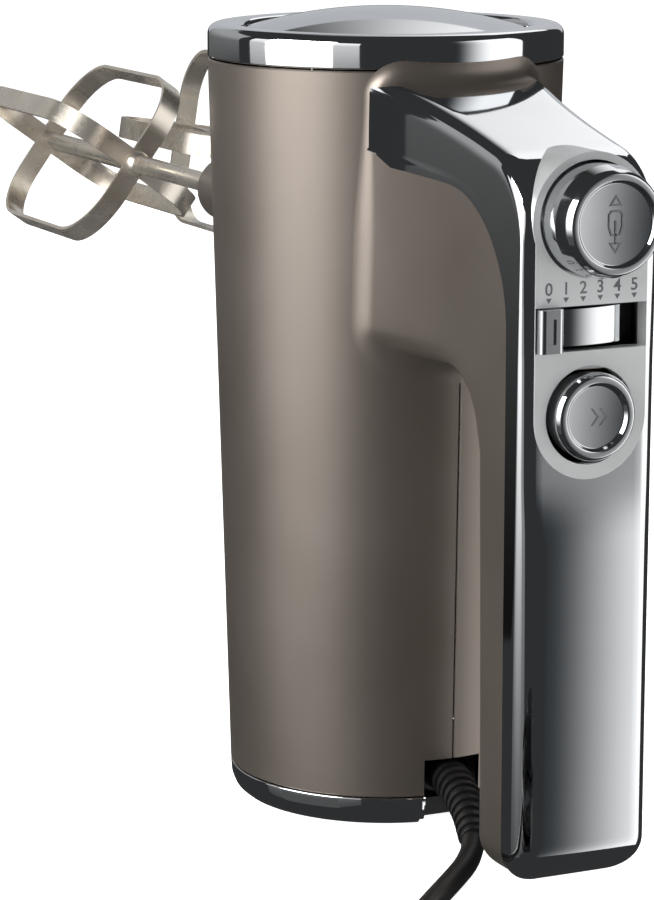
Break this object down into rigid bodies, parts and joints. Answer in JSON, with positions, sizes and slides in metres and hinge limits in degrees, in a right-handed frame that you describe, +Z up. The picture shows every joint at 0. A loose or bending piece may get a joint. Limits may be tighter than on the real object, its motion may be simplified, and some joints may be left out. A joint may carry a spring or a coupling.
{
  "type": "hand mixer",
  "caption": "Upright-standing hand mixer: round tapered body, bright-topped handle loop with eject, speed and turbo controls, sideways strip beaters, cord with coiled end and plug.",
  "frame": {"origin": "centre of the flat heel face that the mixer stands on", "axes": "+Z up along the body axis towards the nose, -Y towards the handle, +Y along the beaters, X across"},
  "size_m": [0.1283, 0.4046, 0.201],
  "materials": {
    "champagne_paint": "satin metallic champagne paint",
    "mirror_chrome": "mirror chrome plating",
    "satin_chrome": "satin chrome plating",
    "button_chrome": "bright chrome with a satin face",
    "black_plastic": "moulded black plastic",
    "white_nylon": "natural nylon",
    "spring_steel": "drawn wire",
    "bright_steel": "ground steel",
    "beater_steel": "satin stainless strip",
    "lamination_steel": "stamped laminations",
    "copper_wire": "enamelled copper",
    "brass_holder": "pressed brass",
    "sintered_bronze": "sintered bronze",
    "carbon": "pressed carbon",
    "board_green": "coated board",
    "wire_insulation": "insulation",
    "cord_rubber": "black flexible sheath"
  },
  "bodies": {
    "casing": {"left_housing": "champagne_paint", "right_housing": "champagne_paint", "handle_cover": "mirror_chrome", "control_plate": "satin_chrome", "nose_ring": "mirror_chrome", "nose_dome": "mirror_chrome", "heel_ring": "mirror_chrome", "heel_plate": "black_plastic", "control_frame": "black_plastic", "eject_spring": "spring_steel", "turbo_spring": "spring_steel", "turbo_switch": "black_plastic", "slider_band": "mirror_chrome", "speed_switch": "black_plastic", "circuit_board": "board_green", "stator_core": "lamination_steel", "field_coils": "copper_wire", "brush_holders": "brass_holder", "carbon_brushes": "carbon", "lower_bracket": "white_nylon", "lower_bearing": "sintered_bronze", "middle_bearing": "sintered_bronze", "nose_bearing": "sintered_bronze", "gearbox_frame": "white_nylon", "spindle_bushes": "sintered_bronze", "heel_screws": "spring_steel", "internal_leads": "wire_insulation", "strain_relief": "cord_rubber", "supply_cord": "cord_rubber", "cord_coil": "cord_rubber", "coil_tie": "black_plastic", "plug_body": "cord_rubber", "plug_pins": "bright_steel"},
    "rotor": {"motor_shaft": "bright_steel", "worm": "bright_steel", "rotor_core": "lamination_steel", "rotor_windings": "copper_wire", "commutator": "copper_wire", "cooling_fan": "white_nylon"},
    "left_drive": {"left_spindle": "bright_steel", "left_worm_wheel": "white_nylon"},
    "right_drive": {"right_spindle": "bright_steel", "right_worm_wheel": "white_nylon"},
    "left_beater": {"left_beater_shaft": "beater_steel", "left_beater_loops": "beater_steel"},
    "right_beater": {"right_beater_shaft": "beater_steel", "right_beater_loops": "beater_steel"},
    "eject_key": {"eject_button": "button_chrome", "eject_fork": "white_nylon"},
    "turbo_key": {"turbo_button": "button_chrome"},
    "speed_slider": {"speed_knob": "button_chrome", "slider_carrier": "black_plastic"}
  },
  "joints": [
    {"name": "rotor_spin", "type": "hinge", "parent": "casing", "child": "rotor", "pos_m": [0, 0, 0.12], "axis": [0, 0, 1], "continuous": true},
    {"name": "left_spindle_spin", "type": "hinge", "parent": "casing", "child": "left_drive", "pos_m": [-0.0218, 0, 0.151], "axis": [0, 1, 0], "continuous": true},
    {"name": "right_spindle_spin", "type": "hinge", "parent": "casing", "child": "right_drive", "pos_m": [0.0218, 0, 0.151], "axis": [0, 1, 0], "continuous": true},
    {"name": "eject_press", "type": "slide", "parent": "casing", "child": "eject_key", "axis": [0, 1, 0], "range_m": [0, 0.006], "stiffness_N_per_m": 900, "springref_m": -0.004, "deforming": ["eject_spring"]},
    {"name": "left_beater_release", "type": "slide", "parent": "left_drive", "child": "left_beater", "axis": [0, 1, 0], "range_m": [0, 0.006]},
    {"name": "right_beater_release", "type": "slide", "parent": "right_drive", "child": "right_beater", "axis": [0, 1, 0], "range_m": [0, 0.006]},
    {"name": "turbo_press", "type": "slide", "parent": "casing", "child": "turbo_key", "axis": [0, 1, 0], "range_m": [0, 0.0025], "stiffness_N_per_m": 800, "springref_m": -0.002, "deforming": ["turbo_spring"]},
    {"name": "speed_slide", "type": "slide", "parent": "casing", "child": "speed_slider", "axis": [1, 0, 0], "range_m": [0, 0.022]}
  ],
  "couplings": [
    {"joint": "left_spindle_spin", "follows": "rotor_spin", "ratio": 0.037037},
    {"joint": "right_spindle_spin", "follows": "rotor_spin", "ratio": -0.037037},
    {"joint": "left_beater_release", "follows": "eject_press", "ratio": 1},
    {"joint": "right_beater_release", "follows": "eject_press", "ratio": 1}
  ]
}
